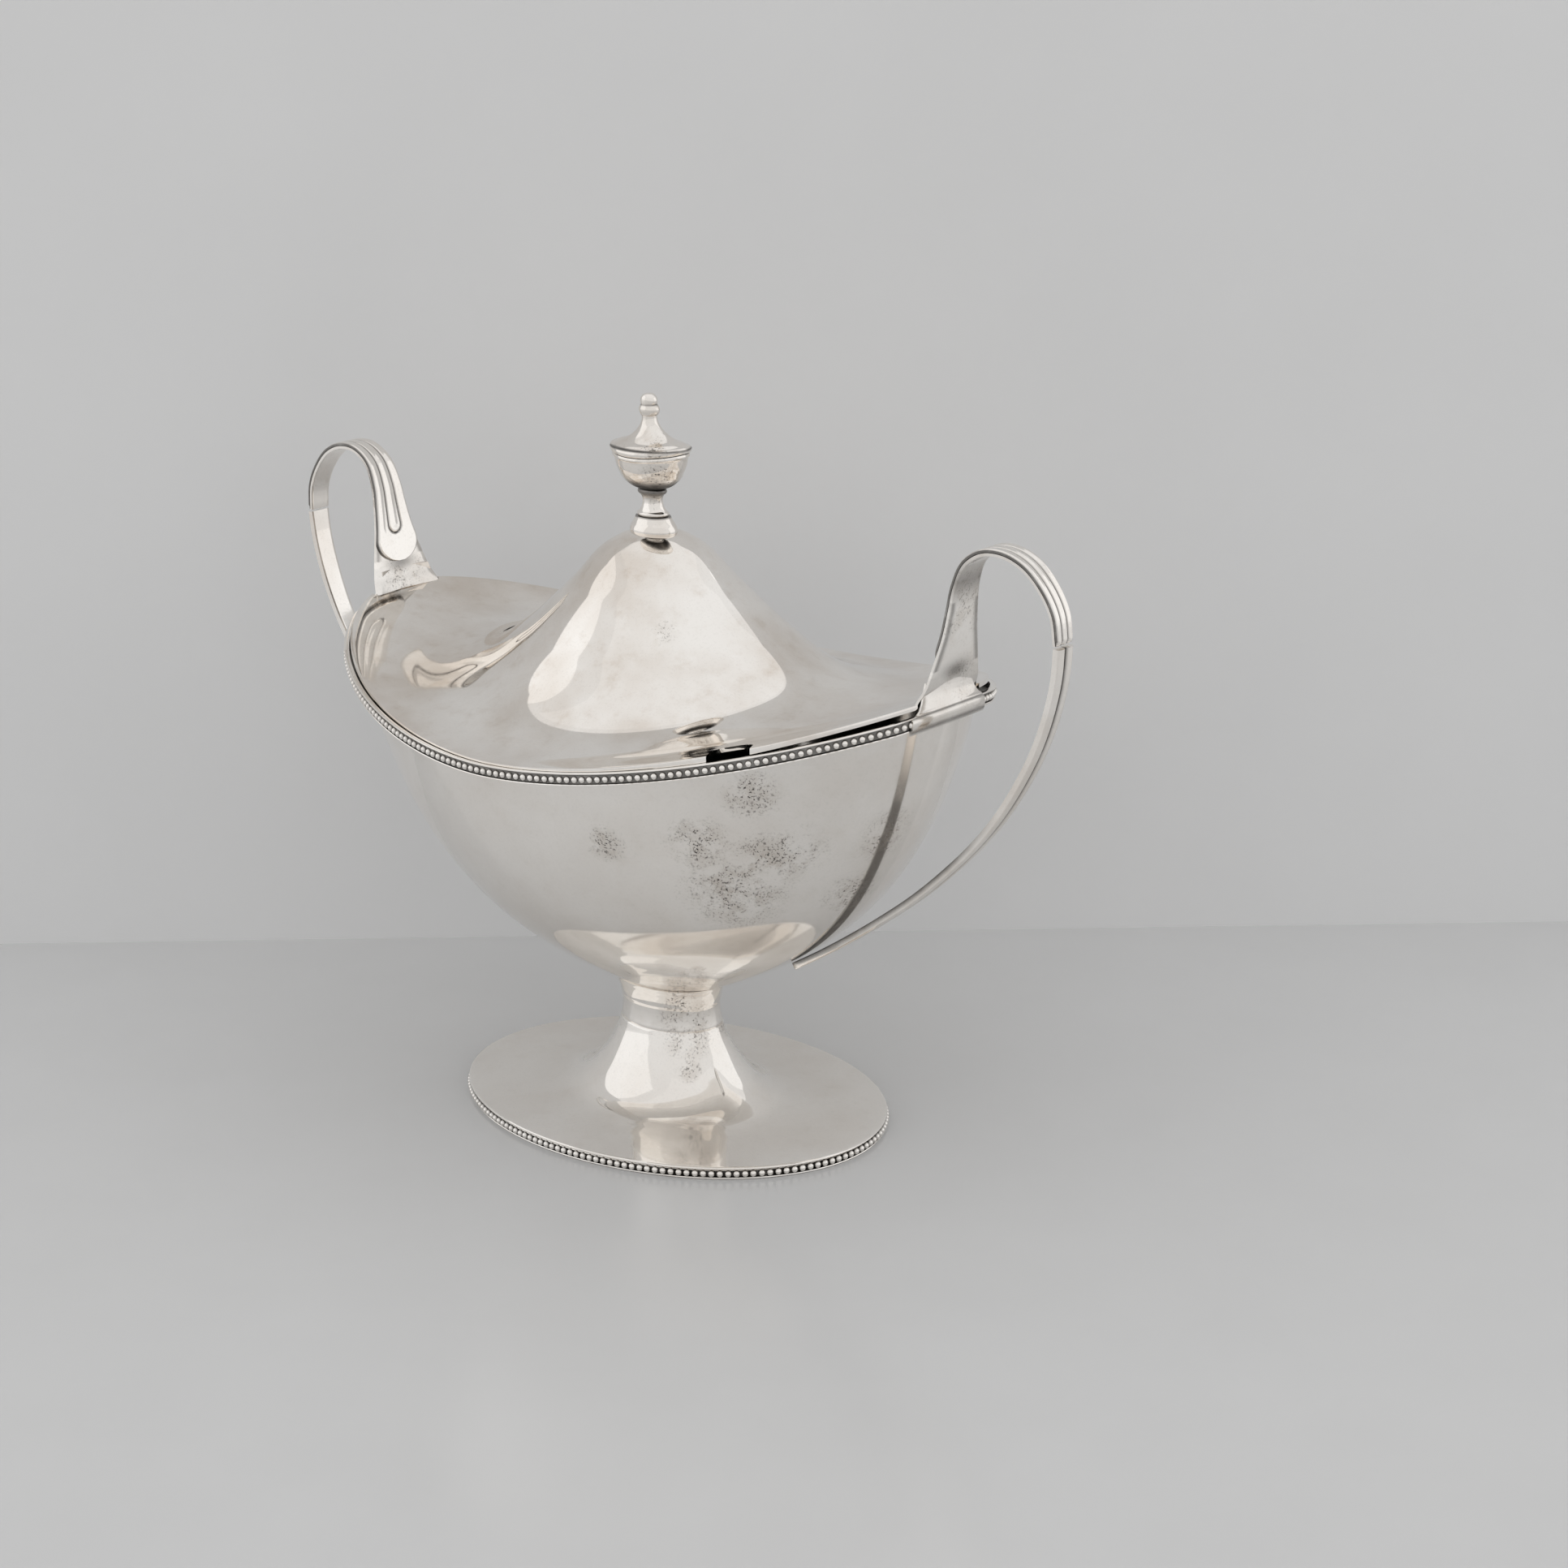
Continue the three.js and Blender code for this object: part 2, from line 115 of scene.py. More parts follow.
def raised(name, section, steps, plan, crease=32):
    """A closed section of (radius, height) steps in mm, drawn up ring by ring.

    The rings are then pressed to the plan that the piece has at each height."""
    put_down()
    section = [(max(r, 0.004), z) for r, z in section]
    bpy.ops.mesh.primitive_circle_add(vertices=steps, radius=section[0][0] * MM)
    piece = bpy.context.object
    piece.name = piece.data.name = name
    bpy.ops.object.mode_set(mode="EDIT")
    bpy.ops.transform.translate(value=(0, 0, section[0][1] * MM))
    for (was, low), (now, high) in zip(section, section[1:]):
        lift = {"value": (0, 0, (high - low) * MM)}
        bpy.ops.mesh.extrude_edges_move(TRANSFORM_OT_translate=lift)
        bpy.ops.transform.resize(value=(now / was, now / was, 1), center_override=(0, 0, 0))
    bpy.ops.object.mode_set(mode="OBJECT")
    for v in piece.data.vertices:
        radius = math.hypot(v.co.x, v.co.y) / MM
        v.co = Vector(plan(radius, math.atan2(v.co.y, v.co.x), v.co.z / MM)) * MM
    finish_skin(piece, crease)
    return piece


def silver(name, polish, film, specks=(), cover=0.5, wave=0.06, metal=1.0):
    """Hand-polished silver: a warm film in clouds, hairline wear, and black specks.

    polish is how dull it is, film how strong the clouds are, and wave how deep the
    hammered waves are in mm. specks holds (centre in mm, reach in mm), and cover is
    how much of them is black. metal below 1 leaves a dull bloom on the surface."""
    paint = bpy.data.materials.new(name)
    paint.use_nodes = True
    nodes, links = paint.node_tree.nodes, paint.node_tree.links
    shader = nodes["Principled BSDF"]
    shader.inputs["Metallic"].default_value = metal
    place = nodes.new("ShaderNodeTexCoord").outputs["Object"]

    def noise(scale, detail, rough=0.5, stretch=(1, 1, 1)):
        turned = nodes.new("ShaderNodeMapping")
        turned.inputs["Scale"].default_value = stretch
        links.new(place, turned.inputs["Vector"])
        made = nodes.new("ShaderNodeTexNoise")
        made.inputs["Scale"].default_value = scale
        made.inputs["Detail"].default_value = detail
        made.inputs["Roughness"].default_value = rough
        links.new(turned.outputs["Vector"], made.inputs["Vector"])
        return made.outputs["Fac"]

    def span(value, low, high, bottom=0.0, top=1.0):
        made = nodes.new("ShaderNodeMapRange")
        made.interpolation_type = "SMOOTHSTEP"
        for i, number in enumerate((low, high, bottom, top), 1):
            made.inputs[i].default_value = number
        links.new(value, made.inputs["Value"])
        return made.outputs["Result"]

    def math_of(kind, a, b):
        made = nodes.new("ShaderNodeMath")
        made.operation = kind
        for socket, value in zip(made.inputs, (a, b)):
            if isinstance(value, (int, float)):
                socket.default_value = value
            else:
                links.new(value, socket)
        return made.outputs["Value"]

    def mixed(factor, a, b):
        made = nodes.new("ShaderNodeMix")
        made.data_type = "RGBA"
        links.new(factor, made.inputs[0])
        for socket, value in ((made.inputs[6], a), (made.inputs[7], b)):
            if isinstance(value, tuple):
                socket.default_value = value
            else:
                links.new(value, socket)
        return made.outputs[2]

    clouds = noise(38, 4, 0.55)
    blotches = noise(210, 5, 0.62)
    hairlines = noise(520, 3, 0.6, (1, 1, 7))
    haze = math_of("MULTIPLY", span(clouds, 0.32, 0.72), film)
    patches = math_of("MULTIPLY", span(blotches, 0.5, 0.78), film * 0.5)
    haze = math_of("ADD", haze, patches)
    colour = mixed(haze, BRIGHT_TONE, FILM_TONE)

    pits = span(noise(1750, 4, 0.75), 0.55, 0.585)
    drift = span(noise(130, 6, 0.75), 0.38, 0.56)
    black = None
    for centre, reach in specks:
        away = nodes.new("ShaderNodeVectorMath")
        away.operation = "DISTANCE"
        links.new(place, away.inputs[0])
        away.inputs[1].default_value = tuple(c * MM for c in centre)
        near = span(away.outputs["Value"], reach * MM * 0.15, reach * MM, 1.0, 0.0)
        near = math_of("MULTIPLY", near, cover)
        black = near if black is None else math_of("MAXIMUM", black, near)
    if black is None:
        black = math_of("MULTIPLY", drift, 0.06)
    else:
        black = math_of("MAXIMUM", math_of("MULTIPLY", black, drift), 0.04)
    smoky = span(noise(260, 4, 0.6), 0.3, 0.7, 0.1, 0.42)
    smoke = math_of("MULTIPLY", black, smoky)
    colour = mixed(smoke, colour, SMOKE_TONE)
    black = math_of("MULTIPLY", black, pits)
    colour = mixed(black, colour, OXIDE_AND_SHADE_TONE)

    # The point attribute holds oxide in hollows and, on the bowl, painted shade; both mix towards
    # the dark tone.
    oxide_and_shade_attribute = nodes.new("ShaderNodeAttribute")
    oxide_and_shade_attribute.attribute_name = "oxide_and_painted_shade"
    patchy = span(blotches, 0.2, 0.55, 0.75, 1.0)
    oxide_and_shade = math_of("MULTIPLY", oxide_and_shade_attribute.outputs["Fac"], patchy)
    colour = mixed(oxide_and_shade, colour, OXIDE_AND_SHADE_TONE)
    links.new(colour, shader.inputs["Base Color"])

    rough = span(clouds, 0.3, 0.75, polish * 0.75, polish * 1.35)
    scratched = math_of("MULTIPLY", span(hairlines, 0.45, 0.75), polish * 0.5)
    rough = math_of("ADD", rough, scratched)
    sooty = math_of("MULTIPLY", math_of("MAXIMUM", black, oxide_and_shade), 0.34)
    rough = math_of("ADD", rough, sooty)
    links.new(rough, shader.inputs["Roughness"])

    relief = math_of("MULTIPLY", noise(30, 1, 0.4), wave)
    relief = math_of("ADD", relief, math_of("MULTIPLY", hairlines, 0.0006))
    relief = math_of("SUBTRACT", relief, math_of("MULTIPLY", black, 0.004))
    bump = nodes.new("ShaderNodeBump")
    bump.inputs["Strength"].default_value = 1.0
    bump.inputs["Distance"].default_value = MM
    links.new(relief, bump.inputs["Height"])
    links.new(bump.outputs["Normal"], shader.inputs["Normal"])
    return paint


def dress(piece, paint, body, slot_name, *nodes):
    """Gives a piece its finish, its body and the nodes that it stands for. slot_name is not used.
    """
    piece.data.materials.clear()
    piece.data.materials.append(paint)
    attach(piece, body)
    if nodes:
        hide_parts(*nodes)


def oval_plan(radius, angle, height):
    return radius * math.cos(angle), radius * FOOT_RATIO * math.sin(angle), height


sweep_up = [(FOOT_LENGTH, FOOT_LIP), (46, 2.95), (39, 3.2), (32.5, 3.6), (27.5, 4.3), (24.2, 5.5)]
sweep_up = [*sweep_up, (21.4, 7.4), (18.8, 10.0), (16.4, 13.0), (14.5, 16.2), (13.3, 18.6)]
trumpet = through([*sweep_up, (12.9, FOOT_TOP)], 90)
under = beside(trumpet, SHEET)
foot_section = [
    *trumpet[1:-1],
    (12.9, FOOT_TOP - 0.12),
    (12.78, FOOT_TOP),
    (12.05, FOOT_TOP),
    *under[1:-1][::-1],
    (52.3, 2.14),
    (52.7, 2.12),
    (52.95, 2.2),
    (53.08, 2.4),
    (53.02, 2.6),
    (52.8, 2.74),
    tuple(trumpet[1]),
]
foot = raised("foot", foot_section, 224, oval_plan)
waist_marks = [((10.1, -5.8, 19.0), 7), ((11.7, -7.4, 11.9), 4), ((10.4, 3.0, 19.5), 5)]
dress(
    foot,
    silver("foot silver", 0.045, 0.3, waist_marks, 0.9, metal=0.8),
    "vessel",
    "silver_foot",
    "foot_shell",
)

# ---------------------------------------------------------------- foot beading
# A cast strip of half-round beads, soldered under the edge of the foot. Black
# oxide fills the channel between the beads, and their crowns are worn bright.

BEAD_PITCH = 1.775
LINE_STEPS = 4000


def bead(radius, tall):
    """One bead: a ball cut off behind, blackened towards its foot, with its crown up."""
    put_down()
    bpy.ops.mesh.primitive_uv_sphere_add(segments=10, ring_count=7, radius=radius * MM)
    made = bpy.context.object
    bpy.ops.object.mode_set(mode="EDIT")
    bpy.ops.mesh.bisect(
        plane_co=(0, 0, -0.25 * radius * MM), plane_no=(0, 0, 1), clear_inner=True, use_fill=True
    )
    bpy.ops.mesh.select_all(action="SELECT")
    bpy.ops.transform.resize(value=(1, tall, 1), center_override=(0, 0, 0))
    bpy.ops.object.mode_set(mode="OBJECT")
    bpy.ops.object.shade_smooth_by_angle(angle=math.radians(60))
    dark = made.data.attributes.new("oxide_and_painted_shade", "FLOAT", "POINT")
    for v, mark in zip(made.data.vertices, dark.data):
        mark.value = min(1.0, max(0.0, 0.95 - 1.3 * v.co.z / (radius * MM)))
    return made


def string_of_beads(band, plan, line, height, radius, tall):
    """Copies of one bead set round a closed line at an even pitch, and joined to their band."""
    turns = np.linspace(0, 2 * math.pi, LINE_STEPS + 1)
    track = np.array([plan(line, angle, height) for angle in turns])
    reach = np.r_[0, np.cumsum(np.linalg.norm(np.diff(track, axis=0), axis=1))]
    count = round(reach[-1] / BEAD_PITCH)
    model = bead(radius, tall)
    copies = []
    for k in range(count):
        at = np.searchsorted(reach, reach[-1] * k / count)
        here = Vector(track[at])
        before, after = track[(at - 2) % LINE_STEPS], track[(at + 2) % LINE_STEPS]
        along = (Vector(after) - Vector(before)).normalized()
        out = along.cross(Vector((0, 0, 1))).normalized()
        up = out.cross(along)
        frame_of = Matrix((along, up, out)).transposed().to_4x4()
        copy = model.copy()
        copy.data = model.data.copy()
        copy.data.transform(Matrix.Translation(here * MM) @ frame_of)
        bpy.context.collection.objects.link(copy)
        copies.append(copy)
    bpy.data.objects.remove(model)
    put_down()
    for copy in copies:
        copy.select_set(True)
    band.select_set(True)
    bpy.context.view_layer.objects.active = band
    bpy.ops.object.join()


def blacken(piece, how_much):
    """Writes how black each point is: 0 for bare silver rubbed bright, 1 for oxide; the bowl's
    painted shade is written the same way.
    """
    marks = piece.data.attributes
    dark = marks.get("oxide_and_painted_shade") or marks.new("oxide_and_painted_shade", "FLOAT", "POINT")
    for v, mark in zip(piece.data.vertices, dark.data):
        mark.value = how_much(v.co / MM)


foot_channel = [(50.9, 0.6), (52.3, 0.6), (52.42, 0.9), (52.42, 1.6), (52.3, 1.95), (50.9, 1.95)]
foot_beading = raised("foot_beading", [*foot_channel, foot_channel[0]], 224, oval_plan)
blacken(foot_beading, lambda p: 1.0)
string_of_beads(foot_beading, oval_plan, 52.65, 1.24, 0.8, 0.98)
bead_silver = silver("beading silver", 0.16, 0.25, wave=0.0)
dress(foot_beading, bead_silver, "vessel", "silver_foot_beads", "foot_bead_band")

# ---------------------------------------------------------------- foot wire
# A plain drawn wire soldered under the beads. The bowl stands on it, so its
# lower edge is worn flat.

wire_section = [
    (50.6, 0.0),
    (52.7, 0.0),
    (52.95, 0.1),
    (53.05, 0.25),
    (52.95, 0.4),
    (52.6, 0.46),
    (50.6, 0.46),
    (50.6, 0.0),
]
foot_wire = raised("foot_wire", wire_section, 224, oval_plan)
wire_silver = silver("wire silver", 0.14, 0.4, wave=0.02)
dress(foot_wire, wire_silver, "vessel", "silver_foot_wire", "foot_base_wire")

# ---------------------------------------------------------------- stem collar
# A short waisted tube between the foot and the bowl, soldered at both ends. A
# faint raised edge shows where its flared top was fitted to the bowl.

collar_low, collar_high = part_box("stem_collar")
COLLAR_BOTTOM, COLLAR_TOP = collar_low.z / MM, collar_high.z / MM
tube = drawn([(12.7, COLLAR_BOTTOM), (12.3, 22.5), (11.7, 26.5), (13.9, COLLAR_TOP)], 36)
flare = np.array([(r + 0.16 * np.clip((z - 25.0) / 0.5, 0, 1), z) for r, z in tube])
collar_section = [
    (11.9, FOOT_TOP - 0.15),
    (12.62, FOOT_TOP - 0.15),
    (12.66, COLLAR_BOTTOM),
    *flare[1:-1],
    (14.0, COLLAR_TOP + 0.05),
    (14.3, COLLAR_TOP + 0.45),
    (13.6, COLLAR_TOP + 0.6),
    (12.9, COLLAR_TOP + 0.55),
    *[(r - SHEET, z) for r, z in tube[1:-1][::-1]],
    (11.9, FOOT_TOP - 0.15),
]
collar = raised("stem_collar_tube", collar_section, 192, oval_plan, crease=50)
stem_marks = [((9.5, -6.0, 22.5), 8), ((10.6, -5.4, 20.5), 5), ((8.8, -6.4, 28.0), 5)]
dress(
    collar,
    silver("stem silver", 0.045, 0.35, stem_marks, 1.0, metal=0.85),
    "vessel",
    "silver_stem",
    "stem_collar",
)

# ---------------------------------------------------------------- bowl
# The body is raised from one sheet to a boat shape: a full oval that rises
# towards the handles. It was polished by hand, and black specks are left on
# the near side under the beads and above the foot.

PLAN_RADIUS = 68.5
HALF_LENGTH, HALF_WIDTH = 82.0, 55.0
BOWL_FLOOR = 29.9
BOWL_RISE = 61.0
END_RISE = 13.6
RIM_POWER = 1.84
BOAT_POWER = 2 / RIM_POWER * 1.83


def oval(angle, half_length, half_width, power):
    c, s = math.cos(angle), math.sin(angle)
    return (
        half_length * math.copysign(abs(c) ** (2 / power), c),
        half_width * math.copysign(abs(s) ** (2 / power), s),
    )


def end_share(angle):
    """How far the boat line has risen: 0 amidships and 1 at the handles."""
    return abs(math.cos(angle)) ** BOAT_POWER


def bowl_plan(radius, angle, height):
    share = max(0.0, (height - BOWL_FLOOR) / 61.5)
    power = 2 - 0.16 * min(1.3 * share, 1)
    half_length = radius * HALF_LENGTH / PLAN_RADIUS
    x, y = oval(angle, half_length, radius * HALF_WIDTH / PLAN_RADIUS, power)
    return x, y, height + END_RISE * end_share(angle) * share**1.46


belly = drawn([(0.17, 0), (0.476, 0.169), (0.8, 0.356), (0.965, 1)], 96)
belly = belly * (PLAN_RADIUS, BOWL_RISE) + (0, BOWL_FLOOR)
inner_wall = beside(belly, SHEET)
bowl_section = [
    (0, BOWL_FLOOR),
    (4, BOWL_FLOOR),
    (8, BOWL_FLOOR),
    *belly,
    (65.9, BOWL_FLOOR + BOWL_RISE),
    *inner_wall[3:-1][::-1],
    (9, BOWL_FLOOR + SHEET),
    (4, BOWL_FLOOR + SHEET),
    (0, BOWL_FLOOR + SHEET),
]
bowl = raised("bowl", bowl_section, 288, bowl_plan)


def belly_painted_shade(p):
    """Painted shade: a thin grey darkening below the belly and towards the right handle, on the
    near side.
    """
    low = 0.045 * min(1.0, max(0.0, (78 - p.z) / 25))
    near_handle = 0.08 * min(1.0, max(0.0, (p.x - 38) / 22)) if p.y < 0 else 0.0
    return low + near_handle


# Painted shade on the bowl: darker below the belly and towards the right handle on the near side.
blacken(bowl, belly_painted_shade)
belly_marks = [
    ((52.5, -27.0, 74.5), 11),
    ((58.4, -24.0, 76.6), 9),
    ((47.0, -30.0, 67.0), 15),
    ((43.8, -37.0, 79.0), 9),
    ((25.4, -44.9, 77.5), 6),
    ((55.0, -33.0, 90.5), 8),
    ((71.5, -8.0, 76.0), 10),
    ((62.0, -9.0, 62.0), 10),
]
dress(
    bowl,
    silver("bowl silver", 0.06, 0.3, belly_marks, 0.95, wave=0.1, metal=0.86),
    "vessel",
    "silver_bowl",
    "bowl_body",
)

# ---------------------------------------------------------------- rim
# The beaded rim is soldered round the bowl: an L-shaped band that the lid sits
# in, beads on its outer face, a bright wire over them and a thin one below.

RIM_HEIGHT = 91.4
ROOT_SEAT = 78.5


def flattened(x):
    """Presses the pointed ends of the rim flatter, where the handles' roots sit."""
    past = max(0.0, abs(x) - ROOT_SEAT)
    return math.copysign(min(abs(x), ROOT_SEAT) + 0.7 * past, x)


def rim_plan(radius, angle, height):
    half_length = radius * HALF_LENGTH / PLAN_RADIUS
    x, y = oval(angle, half_length, radius * HALF_WIDTH / PLAN_RADIUS, RIM_POWER)
    return flattened(x), y, RIM_HEIGHT + height + END_RISE * end_share(angle)


rim_channel = [
    (66.45, -1.0),
    (68.85, -1.0),
    (68.9, -0.7),
    (68.9, 0.5),
    (68.85, 0.7),
    (68.2, 0.7),
    (68.2, -0.5),
    (66.45, -0.5),
    (66.45, -1.0),
]
rim_beading = raised("rim_beading", rim_channel, 320, rim_plan)
blacken(rim_beading, lambda p: 0.8)
string_of_beads(rim_beading, rim_plan, 68.85, -0.14, 0.76, 1.0)
dress(rim_beading, bead_silver, "vessel", "silver_rim_beads", "rim_bead_band")

top_wire = [
    (68.2, 0.9),
    (69.1, 0.9),
    (69.38, 0.98),
    (69.4, 1.12),
    (69.2, 1.25),
    (68.4, 1.25),
    (68.2, 1.15),
    (68.2, 0.9),
]
rim_wire = raised("rim_wire_over_beads", top_wire, 320, rim_plan)
dress(rim_wire, wire_silver, "vessel", "silver_rim_wires", "rim_top_wire")
low_wire = [
    (66.6, -1.6),
    (68.8, -1.6),
    (69.15, -1.5),
    (69.2, -1.35),
    (69.05, -1.2),
    (66.6, -1.2),
    (66.6, -1.6),
]
rim_thin_wire = raised("rim_wire_under_beads", low_wire, 320, rim_plan)
dress(rim_thin_wire, wire_silver, "vessel", "silver_rim_wires", "rim_lower_wire")

# ---------------------------------------------------------------- handles, upper strap
# Each handle starts as a flat strap with a flared root. The root is turned out
# and soldered on the rim, and the strap rises, narrows and arches over.

RISING = [
    (79.4, 106.7, 9.9),
    (79.5, 107.6, 9.5),
    (80.3, 110.0, 8.5),
    (81.5, 115.0, 7.0),
    (82.7, 121.0, 5.3),
    (83.5, 126.0, 4.5),
    (84.4, 130.8, 4.0),
    (86.6, 135.5, 3.6),
    (90.4, 137.9, 3.4),
    (95.0, 138.1, 3.2),
    (99.6, 136.3, 3.0),
    (103.4, 132.6, 2.8),
    (106.0, 128.0, 2.65),
    (106.8, 122.2, 2.55),
]
STRAP = 0.8
BOWED_BELOW = 111.0


def slab(name, along, across):
    """A flat slab of quads: x runs along it, y across it and z through it."""
    put_down()
    bpy.ops.mesh.primitive_grid_add(x_subdivisions=along, y_subdivisions=across, size=2)
    made = bpy.context.object
    made.name = made.data.name = name
    bpy.ops.object.mode_set(mode="EDIT")
    bpy.ops.mesh.extrude_region_move(TRANSFORM_OT_translate={"value": (0, 0, 1)})
    bpy.ops.object.mode_set(mode="OBJECT")
    return made


def bent(piece, path, outer_face, ease=1.0):
    """Bends a slab along a path of (x, z, half width) in mm.

    outer_face gives each point's share of the half width, and its depth in mm, from
    its way along, the whole way, its place across, the half width and its face."""
    line = through(path, 400)
    run = np.gradient(line[:, :2], axis=0)
    run /= np.linalg.norm(run, axis=1)[:, None]
    reach = np.r_[0, np.cumsum(np.linalg.norm(np.diff(line[:, :2], axis=0), axis=1))]
    for v in piece.data.vertices:
        share = ((v.co.x + 1) / 2) ** ease
        way = share * reach[-1]
        x, z, half = (np.interp(way, reach, line[:, k]) for k in range(3))
        tx, tz = (np.interp(way, reach, run[:, k]) for k in range(2))
        wide, depth = outer_face(way, reach[-1], v.co.y, half, v.co.z > 0.5)
        v.co = Vector((x - tz * depth, half * wide, z + tx * depth)) * MM


def rounded_end(way, half):
    """Half width of a tongue with a round end, as a share of its half width."""
    return 1.0 if way >= half else math.sqrt(max(0.0, 1 - ((half - way) / half) ** 2))


def upper_face(way, whole, across, half, outside):
    edge = max(0.0, abs(across) - 0.9)
    return across, (STRAP - edge) if outside else edge


def seat_root(piece):
    """Bows the lowest part of the strap to the rim's plan and its boat line."""
    for v in piece.data.vertices:
        x, y, z = v.co / MM
        hold = min(1.0, max(0.0, (BOWED_BELOW - z) / 4.5)) ** 1.5
        across = 1 - min(1, abs(y) / HALF_WIDTH) ** RIM_POWER
        bow = HALF_LENGTH * (1 - across ** (1 / RIM_POWER))
        v.co = Vector((x - hold * bow * 0.5, y, z - hold * 0.25 * bow)) * MM


def second_handle(piece, name):
    """The left handle is the right one turned half round."""
    other = piece.copy()
    other.data = piece.data.copy()
    other.name = other.data.name = name
    other.data.transform(Matrix.Rotation(math.pi, 4, "Z"))
    bpy.context.collection.objects.link(other)
    return other


ROOT_EDGE = [(68.0, 7.0), (68.3, 4.8), (68.75, 3.2), (69.4, 2.1), (69.85, 1.55), (69.66, 1.15)]
ROOT_EDGE = [*ROOT_EDGE, (69.9, 0.75), (70.05, 0.1), (69.95, -0.8), (69.7, -1.6), (69.2, -2.3)]
FAR_SIDE = 0.78
ROOT_HEIGHTS = [-2.3, 0.75, 1.55, 2.1, 3.2, 4.8, 7.0]
ROOT_HALVES = [12.8, 12.5, 11.4, 10.3, 9.3, 8.5, 7.7]


def flange(name):
    """The turned-out foot of the strap, dressed down over the beads of the rim."""
    made = slab(name, 60, 40)
    over = through(ROOT_EDGE, 200)
    under_face = beside(over, -0.45)
    for v in made.data.vertices:
        face = over if v.co.z > 0.5 else under_face
        way = (v.co.x + 1) * 100
        line, height = (np.interp(way, np.arange(201), face[:, k]) for k in range(2))
        y = v.co.y * np.interp(height, ROOT_HEIGHTS, ROOT_HALVES)
        y *= FAR_SIDE if y > 0 else 1
        ratio = line / PLAN_RADIUS
        c = (1 - (abs(y) / (HALF_WIDTH * ratio)) ** RIM_POWER) ** 0.5
        x = flattened(HALF_LENGTH * ratio * c ** (2 / RIM_POWER))
        lift = RIM_HEIGHT + END_RISE * c**BOAT_POWER
        v.co = Vector((x, y, lift + height)) * MM
    finish_skin(made, 40)
    return made


strap_silver = silver(
    "strap silver",
    0.06,
    0.55,
    [((85, 0, 127), 12), ((-85, 0, 127), 12), ((80.4, 2, 110), 8), ((-79.5, 0, 110), 9)],
    0.6,
    wave=0.03,
)
upper_strap = slab("handle_upper_right", 150, 22)
bent(upper_strap, RISING, upper_face)
seat_root(upper_strap)
finish_skin(upper_strap, 40)
root_flange = flange("root_flange")
put_down()
root_flange.select_set(True)
upper_strap.select_set(True)
bpy.context.view_layer.objects.active = upper_strap
bpy.ops.object.join()


def root_oxide(p):
    """Grey inside the bend and round the tongue, and black along the root's edge."""
    bend = 0.55 * max(0.0, 1 - abs(p.z - 132) / 6) if p.x < 92 else 0.0
    below_tongue = 0.62 * math.exp(-(((p.z - 113.0) / 2.0) ** 2) - (p.y / 4.5) ** 2)
    half = np.interp(p.z, [110, 115, 121, 126], [8.5, 7.0, 5.3, 4.5])
    from_outline = (half - 0.7 - abs(p.y)) / 0.7
    beside_tongue = 0.6 * math.exp(-(from_outline**2)) if 114 < p.z < 128 else 0.0
    smudge = 0.22 * max(0.0, 1 - abs(p.z - 109.5) / 4)
    tarnish = max(bend, below_tongue, beside_tongue, smudge)
    c = (1 - min(1.0, abs(p.y) / HALF_WIDTH) ** RIM_POWER) ** 0.5
    height = p.z - RIM_HEIGHT - END_RISE * c**BOAT_POWER
    if height > 8:
        return tarnish
    upper_line = math.exp(-(((height - 1.15) / 0.3) ** 2))
    lower_line = math.exp(-(((height + 1.5) / 0.7) ** 2))
    return max(tarnish, 0.65 * (upper_line + lower_line), 0.16)


blacken(upper_strap, root_oxide)
upper_left = second_handle(upper_strap, "handle_upper_left")
dress(upper_strap, strap_silver, "vessel", "silver_straps", "handle_upper_strap_right")
dress(upper_left, strap_silver, "vessel", "silver_straps", "handle_upper_strap_left")

# ---------------------------------------------------------------- handles, reeded strip
# A reeded strip lies on the outside of the upper strap. Its outer reeds meet
# in a round tongue above the root, and the inner reed ends in a smaller one.
# The grooves are black, and the ends over the lower strap are rounded off.

STRIP = 0.62
GROOVE = 0.19
INNER_REED = 0.36
REED_START = 8.6


def reeded_face(way, whole, across, half, outside):
    wide = across * rounded_end(way, half)
    if not outside:
        return wide, STRAP + 0.05
    y = abs(wide * half)
    inner = half * INNER_REED
    from_axis = y - inner
    if way <= REED_START:
        from_axis = math.hypot(y, REED_START - way) - inner
    cut = 0.34 * math.exp(-((from_axis / GROOVE) ** 2))
    crown = 0.1 * math.cos(min(1.0, abs(from_axis) / inner) * math.pi / 2)
    edge = rounded_end(min(way, half), half)
    from_edge = half * edge * (1 - abs(across))
    fall = 0.32 * math.exp(-((from_edge / 0.22) ** 2))
    left = whole - way
    centre = 0 if y < inner else (half + inner) / 2
    reach = inner if y < inner else (half - inner) / 2
    tip = 1.0
    if left < reach:
        beyond = math.hypot(y - centre, max(0.0, reach - left)) / reach
        tip = math.sqrt(max(0.0, 1 - min(1.0, beyond) ** 2))
    height = (STRIP + 0.12 - crown - cut - fall) * (0.12 + 0.88 * tip)
    return wide, STRAP + 0.05 + max(0.06, height)


def strip_oxide(piece, path):
    """Black in the grooves and round the outline of the strip."""
    line = through(path, 400)
    reach = np.r_[0, np.cumsum(np.linalg.norm(np.diff(line[:, :2], axis=0), axis=1))]

    def at(p):
        i = np.argmin((line[:, 0] - p.x) ** 2 + (line[:, 1] - p.z) ** 2)
        way, half = reach[i], line[i, 2]
        inner = half * INNER_REED
        y = abs(p.y)
        from_axis = y - inner
        if way <= REED_START:
            from_axis = math.hypot(y, REED_START - way) - inner
        groove = math.exp(-((from_axis / 0.17) ** 2))
        edge = half * rounded_end(way, half) - y
        return min(1.0, groove * 1.15 + 0.8 * math.exp(-((edge / 0.13) ** 2)))

    blacken(piece, at)


